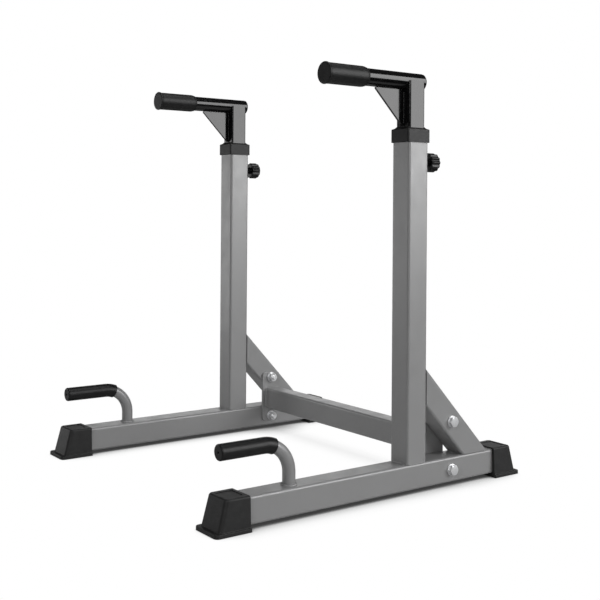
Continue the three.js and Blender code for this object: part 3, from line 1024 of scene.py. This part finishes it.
def makeBarrel(side):
    node = f"{side}_pin_barrel"
    look = barrelLook
    radius = size(node).x / 2
    length = size(node).y
    guideStart = length - look["guideWall"]
    threadEnd = length - look["threadEnd"]
    profile = [
        (look["chamber"], 0),
        (radius, 0),
        *threaded(radius, look["threadStart"], threadEnd, look["pitch"]),
        (radius - look["chamfer"], length),
        (look["guide"], length),
        (look["guide"], guideStart),
        (look["chamber"], guideStart),
    ]
    finishAlongY(turned(profile, closed=True), node)


def makeWeldNut(side):
    node = f"{side}_weld_nut"
    look = weldNutLook
    outer = size(node).x / 2
    deep = size(node).y
    bore = size(f"{side}_pin_barrel").x / 2 + look["fit"]
    rear = [(outer, deep, look["outerEdge"]), (bore, deep, look["innerEdge"])]
    finishAlongY(turned([(bore, 0), (outer, 0), *rear], closed=True), node)


def makePin(side):
    node = f"{side}_plunger_pin"
    look = pinLook
    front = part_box(node)[0].y
    length = size(node).y
    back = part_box(f"{side}_upright_tube")[1].y
    start = back + look["shoulderStart"] - front
    end = back + look["shoulderEnd"] - front
    profile = [
        (0, 0),
        (look["tip"], 0, look["tipRounding"]),
        (look["tip"], start),
        (look["shoulder"], start, look["shoulderEdge"]),
        (look["shoulder"], end, look["shoulderEdge"]),
        (look["stem"], end),
        (look["stem"], length),
        (0, length),
    ]
    finishAlongY(turned(profile, smallSides), node)


for side in sides:
    makeKnob(side)
    makeBarrel(side)
    makeWeldNut(side)
    makePin(side)
print("pull-pins made")


# Bolts, nuts and washers

boltLook = {
    "across": 19 * mm,
    "head": 7.5 * mm,
    "radius": 6 * mm,
    "chamfer": 1.2 * mm,
    "thread": 22 * mm,
    "threadStart": 1.5 * mm,
    "pitch": 1.75 * mm,
    "overlap": 2 * mm,  # of the shank with the head
    "nutFit": 0.3 * mm,
    "washerFit": 0.4 * mm,
    "washerFront": 0.3 * mm,
    "washerBack": 0.5 * mm,
}
hexLook = {"cone": 1.1, "flat": 0.97, "slope": 0.224}  # shares of corner, flats and height


# Hexagon on z = 0, its corners chamfered at the top and, where asked, at the foot.
def hexBlock(across, height, bothEnds=False):
    corner = across / math.sqrt(3)
    bm = bmesh.new()
    bmesh.ops.create_circle(bm, cap_ends=True, radius=corner, segments=6)
    bm.faces.ensure_lookup_table()
    raiseFace(bm, bm.faces[0], height)
    outer = corner * hexLook["cone"]
    inner = across / 2 * hexLook["flat"]
    slope = height * hexLook["slope"]
    foot = [(inner, 0), (outer, slope)] if bothEnds else [(outer, 0)]
    top = [(outer, height - slope), (inner, height), (0, height)]
    return combine(bm, turned([(0, 0), *foot, *top]), "INTERSECT")


# Lays a piece of a bolt along X with its foot at x, and its top to the left where out is -1.
def placeOnBolt(bm, node, x, out=1):
    turnTo(bm, "X")
    if out < 0:
        rotate(bm, math.pi, "Z")
    moveTo(bm, (x, middle(node).y, middle(node).z))
    finishPiece(bm, node)


def makeBolt(side, level):
    node = f"{side}_{level}_bolt"
    look = boltLook
    low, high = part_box(node)
    out = 1 if side == "right" else -1
    radius = look["radius"]
    length = size(node).x - look["head"]
    tip = [(0, -length), (radius - look["chamfer"], -length)]
    start = -length + look["threadStart"]
    grooves = threaded(radius, start, -length + look["thread"], look["pitch"])
    top = [(radius, look["overlap"]), (0, look["overlap"])]
    shank = turned([*tip, *grooves, *top], smallSides)
    bm = combine(hexBlock(look["across"], look["head"]), shank, "UNION")
    placeOnBolt(bm, node, high.x - look["head"] if out > 0 else low.x + look["head"], out)


def makeNut(side, level):
    node = f"{side}_{level}_nut"
    deep = size(node).x
    bore = boltLook["radius"] + boltLook["nutFit"]
    cutter = turned([(0, -deep), (bore, -deep), (bore, deep * 2), (0, deep * 2)], smallSides)
    bm = combine(hexBlock(boltLook["across"], deep, bothEnds=True), cutter)
    placeOnBolt(bm, node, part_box(node)[0].x)


def makeWasher(side, level, where):
    node = f"{side}_{level}_{where}_washer"
    look = boltLook
    outer = size(node).z / 2
    thick = size(node).x
    hole = look["radius"] + look["washerFit"]
    rim = [(outer, 0, look["washerFront"]), (outer, thick, look["washerBack"])]
    bm = turned([(hole, 0), *rim, (hole, thick)], closed=True)
    placeOnBolt(bm, node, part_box(node)[0].x)


for side in sides:
    for level in ("lower", "upper"):
        makeBolt(side, level)
        makeNut(side, level)
        for where in ("outer", "inner"):
            makeWasher(side, level, where)
print("bolts made")


# Weld beads

weldLook = {
    "radius": 2.6 * mm,
    "half": 18 * mm,  # half the length of a bead across a tube
    "pitch": 2.2 * mm,
    "ripple": 0.35 * mm,
    "wave": 0.6,
    "unevenness": 260,  # to the metre
    "step": 0.5 * mm,
    "fewestSteps": 4,
    "sides": 12,
    "endSize": 0.4,  # share of the radius at a bead's ends
    "endRun": 2 * mm,
    "sharp": 60,  # degrees
}
seamLook = {"radius": 1.1 * mm, "inset": 0.7 * mm, "margin": 5 * mm}
handleWeld = {"lift": 0.3 * mm, "outset": 0.6 * mm}
nutWeld = {"radius": 1.6 * mm, "outset": 0.3 * mm}
gussetWeld = {"radius": 1.4 * mm, "margin": 4 * mm, "outset": 0.3 * mm}
plateWeld = {"radius": 2 * mm, "margin": 4 * mm}


# Swells a smooth bead into overlapping scales; along gives how far on a point lies.
def ripple(bm, along):
    bm.normal_update()
    for v in bm.verts:
        wave = math.sin(along(v.co) / weldLook["pitch"] * math.tau) * weldLook["wave"]
        uneven = noise.noise(v.co * weldLook["unevenness"])
        v.co += v.normal * weldLook["ripple"] * (wave + uneven)


def straightBead(name, node, start, end, radius=weldLook["radius"]):
    look = weldLook
    run = Vector(end) - Vector(start)
    bm = bmesh.new()
    bmesh.ops.create_circle(
        bm, cap_ends=True, radius=radius * look["endSize"], segments=look["sides"]
    )
    bm.faces.ensure_lookup_table()
    face = bm.faces[0]
    steps = max(int(run.length / look["step"]), look["fewestSteps"])
    for step in range(steps):
        face = raiseFace(bm, face, run.length / steps)
        nearEnd = min(step + 1, steps - step - 1) * run.length / steps
        full = min(nearEnd / look["endRun"], 1)
        swell = radius * (look["endSize"] + (1 - look["endSize"]) * full)
        for v in face.verts:
            flat = Vector((v.co.x, v.co.y, 0)).normalized() * swell
            v.co.x, v.co.y = flat.x, flat.y
    bmesh.ops.recalc_face_normals(bm, faces=bm.faces)
    ripple(bm, lambda co: co.z)
    lay = Vector((0, 0, 1)).rotation_difference(run).to_matrix()
    bmesh.ops.rotate(bm, verts=bm.verts, cent=(0, 0, 0), matrix=lay)
    moveTo(bm, start)
    finishPiece(bm, node, name, sharp=look["sharp"], replaces=False)


def ringBead(name, node, place, ringRadius, axis, radius=weldLook["radius"]):
    look = weldLook
    bm = bmesh.new()
    bmesh.ops.create_circle(bm, cap_ends=False, radius=radius, segments=look["sides"])
    rotate(bm, math.pi / 2, "X")
    moveTo(bm, (ringRadius, 0, 0))
    spinRound(bm, int(ringRadius * math.tau / look["step"]))
    bmesh.ops.recalc_face_normals(bm, faces=bm.faces)
    ripple(bm, lambda co: math.atan2(co.y, co.x) * ringRadius)
    turnTo(bm, axis)
    moveTo(bm, place)
    finishPiece(bm, node, name, sharp=look["sharp"], replaces=False)


def beadAcross(name, node, x, y, z):
    half = weldLook["half"]
    straightBead(name, node, (x - half, y, z), (x + half, y, z))


def weldUpright(node):
    low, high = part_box(node)
    x = middle(node).x
    for name, y in (("front_weld", low.y), ("back_weld", high.y)):
        beadAcross(name, node, x, y, low.z)
    margin = seamLook["margin"]
    reach = (high.x - low.x) / 2 - seamLook["inset"]
    for name, face in (("left_seam", x - reach), ("right_seam", x + reach)):
        start, end = (face, low.y + margin, low.z), (face, high.y - margin, low.z)
        straightBead(name, node, start, end, seamLook["radius"])


def weldBrace(side, upright):
    node = f"{side}_brace_tube"
    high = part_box(node)[1]
    low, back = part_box(upright)
    x = middle(upright).x
    beadAcross("top_weld", node, x, back.y, high.z)
    beadAcross("foot_weld", node, x, high.y, low.z)


def weldHandle(side, upright):
    node = f"{side}_pushup_tube"
    radius = size(node).x / 2
    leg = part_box(node)[1].y - radius
    place = (middle(upright).x, leg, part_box(upright)[0].z + handleWeld["lift"])
    ringBead("foot_weld", node, place, radius + handleWeld["outset"], "Z")


def weldNut(side, upright):
    node = f"{side}_weld_nut"
    nut = middle(node)
    ringRadius = size(node).x / 2 + nutWeld["outset"]
    place = (nut.x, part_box(upright)[1].y, nut.z)
    ringBead("weld", node, place, ringRadius, "Y", nutWeld["radius"])


def weldGusset(side, upright):
    node = f"{side}_bar_gusset"
    low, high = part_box(node)
    x = middle(upright).x
    reach = (high.x - low.x) / 2
    back = high.y + gussetWeld["outset"]
    margin = gussetWeld["margin"]
    for name, face in (("left_weld", x - reach), ("right_weld", x + reach)):
        start, end = (face, back, low.z + margin), (face, back, high.z - margin)
        straightBead(name, node, start, end, gussetWeld["radius"])


# Round the end of the cross beam, on the plate's inner face.
def weldPlate(side):
    node = f"{side}_flange_plate"
    low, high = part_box("cross_beam")
    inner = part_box(node)[0].x if side == "right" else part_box(node)[1].x
    margin = plateWeld["margin"]
    radius = plateWeld["radius"]
    for name, z in (("top_weld", high.z), ("bottom_weld", low.z)):
        start, end = (inner, low.y + margin, z), (inner, high.y - margin, z)
        straightBead(name, node, start, end, radius)
    start, end = (inner, low.y, low.z + margin), (inner, low.y, high.z - margin)
    straightBead("front_weld", node, start, end, radius)


for side in sides:
    upright = f"{side}_upright_tube"
    weldUpright(upright)
    weldBrace(side, upright)
    weldHandle(side, upright)
    weldNut(side, upright)
    weldGusset(side, upright)
    weldPlate(side)
print("welds made")


# Studio

camera = {
    "place": (1.7796, -1.2498, 0.5547),
    "yaw": 53.904,
    "tilt": -0.106,
    "roll": 0.408,
    "focalLength": 60.148,
    "sensorWidth": 36,
    "opticalCentre": (296.53, 205.5),  # pixels of the photograph
    "imageSize": 600,
}
floorLook = {
    "size": 60,
    "color": (0.8, 0.8, 0.8),
    "roughness": 0.9,
    "contactReach": 0.09,
    "contactSamples": 16,
    "shadeStart": 0.1,  # of the open sky, where the shade is deepest
    "shadeEnd": 0.85,
    "deepest": 0.045,
}
# Painted reflection: how brightly the floor glows to glossy rays near the middle and far off, and
# the radii between which that glow fades.
paintedSheen = {"nearLight": 0.32, "farLight": 0.0, "nearRadius": 1.0, "farRadius": 1.5}
worldLight = {"object": 0.03, "camera": 1.0}
softboxes = {
    "side": {
        "place": (2.9, 2.1, 1.7),
        "target": (0, 0.1, 0.6),
        "size": (2.6, 2.4),
        "power": 85,
    },
    "corner": {
        "place": (3.4, -0.5, 1.0),
        "target": (0, 0, 0.45),
        "size": (0.9, 2.0),
        "power": 4,
    },
    "top": {
        "place": (0.2, 0.2, 2.8),
        "target": (0, 0.1, 0.4),
        "size": (1.4, 1.4),
        "power": 17,
    },
    "back": {
        "place": (-3.0, 2.4, 1.0),
        "target": (0, 0.1, 0.5),
        "size": (3.0, 1.4),
        "power": 17.5,
    },
    "low front": {
        "place": (-1.9, -1.1, 0.45),
        "target": (-0.1, 0, 0.4),
        "size": (1.1, 1.0),
        "power": 6.3,
    },
    "camera side": {
        "place": (2.2, -3.0, 2.0),
        "target": (0, 0, 0.4),
        "size": (1.6, 1.6),
        "power": 38,
    },
}


def makeCamera():
    lens = bpy.data.cameras.new("camera")
    holder = bpy.data.objects.new("camera", lens)
    bpy.context.scene.collection.objects.link(holder)
    yaw = Matrix.Rotation(math.radians(camera["yaw"]), 4, "Z")
    tilt = Matrix.Rotation(math.radians(90 - camera["tilt"]), 4, "X")
    roll = Matrix.Rotation(math.radians(camera["roll"]), 4, "Z")
    holder.matrix_world = Matrix.Translation(camera["place"]) @ yaw @ tilt @ roll
    lens.lens = camera["focalLength"]
    lens.sensor_width = camera["sensorWidth"]
    half = camera["imageSize"] / 2
    lens.shift_x = (half - camera["opticalCentre"][0]) / camera["imageSize"]
    lens.shift_y = (camera["opticalCentre"][1] - half) / camera["imageSize"]
    bpy.context.scene.camera = holder


# Gives one shader to a kind of ray and another to the rest.
def chooseShader(material, ray, others, chosen):
    mix = addNode(material, "ShaderNodeMixShader")
    link(material, ray, mix.inputs["Fac"])
    link(material, others, mix.inputs[1])
    link(material, chosen, mix.inputs[2])
    return mix.outputs["Shader"]


# White to the camera but for a painted contact shadow under the object. To glossy rays it glows as
# a painted reflection, bright out to some way off and then fading, which metal and gloss mirror;
# the painted shadow darkens that glow too.
def floorMaterial():
    look = floorLook
    material, shader = newMaterial("pale floor", look["color"], look["roughness"])
    # Painted contact shadow: ambient occlusion darkens the floor's colour where the object is
    # close.
    contact = addNode(material, "ShaderNodeAmbientOcclusion", Distance=look["contactReach"])
    contact.samples = look["contactSamples"]
    shares = (look["shadeStart"], look["shadeEnd"])
    shade = ramp(material, contact.outputs["AO"], look["deepest"], 1, *shares, smooth=True)
    glow = addNode(material, "ShaderNodeEmission", Strength=1.0)
    link(material, shade, glow.inputs["Color"])

    # Painted reflection: the floor's glow to glossy rays, fading with distance from the middle.
    coordinates = addNode(material, "ShaderNodeTexCoord")
    radius = addNode(material, "ShaderNodeVectorMath")
    radius.operation = "LENGTH"
    link(material, coordinates.outputs["Object"], radius.inputs[0])
    light = (paintedSheen["nearLight"], paintedSheen["farLight"])
    reach = (paintedSheen["nearRadius"], paintedSheen["farRadius"])
    mirrored = ramp(material, radius.outputs["Value"], *light, *reach, smooth=True)
    sheen = addNode(material, "ShaderNodeEmission")
    link(material, shade, sheen.inputs["Color"])
    link(material, mirrored, sheen.inputs["Strength"])

    rays = addNode(material, "ShaderNodeLightPath").outputs
    lit = chooseShader(
        material, rays["Is Glossy Ray"], shader.outputs["BSDF"], sheen.outputs["Emission"]
    )
    seen = chooseShader(material, rays["Is Camera Ray"], lit, glow.outputs["Emission"])
    output = material.node_tree.nodes["Material Output"]
    link(material, seen, output.inputs["Surface"])
    return material


def makeFloor():
    bm = bmesh.new()
    bmesh.ops.create_grid(bm, x_segments=1, y_segments=1, size=floorLook["size"] / 2)
    mesh = bpy.data.meshes.new("floor")
    bm.to_mesh(mesh)
    bm.free()
    floor = bpy.data.objects.new("floor", mesh)
    bpy.context.scene.collection.objects.link(floor)
    mesh.materials.append(floorMaterial())


# White to the camera, and nearly dark to the object, which the softboxes light.
def makeWorld():
    world = bpy.data.worlds.new("studio")
    bpy.context.scene.world = world
    world.use_nodes = True
    rays = addNode(world, "ShaderNodeLightPath").outputs
    light = (worldLight["object"], worldLight["camera"])
    strength = ramp(world, rays["Is Camera Ray"], *light, start=0, end=1)
    background = world.node_tree.nodes["Background"]
    background.inputs["Color"].default_value = (1, 1, 1, 1)
    link(world, strength, background.inputs["Strength"])


def addSoftbox(name, box):
    lamp = bpy.data.lights.new(name, "AREA")
    lamp.shape = "RECTANGLE"
    lamp.size, lamp.size_y = box["size"]
    lamp.energy = box["power"]
    holder = bpy.data.objects.new(name, lamp)
    bpy.context.scene.collection.objects.link(holder)
    facing = Vector(box["target"]) - Vector(box["place"])
    aim = facing.to_track_quat("-Z", "Y").to_matrix().to_4x4()
    holder.matrix_world = Matrix.Translation(box["place"]) @ aim
    holder.visible_camera = False


makeCamera()
makeFloor()
makeWorld()
for name, box in softboxes.items():
    addSoftbox(name, box)
bpy.context.scene.view_settings.view_transform = "Standard"
print("studio made")
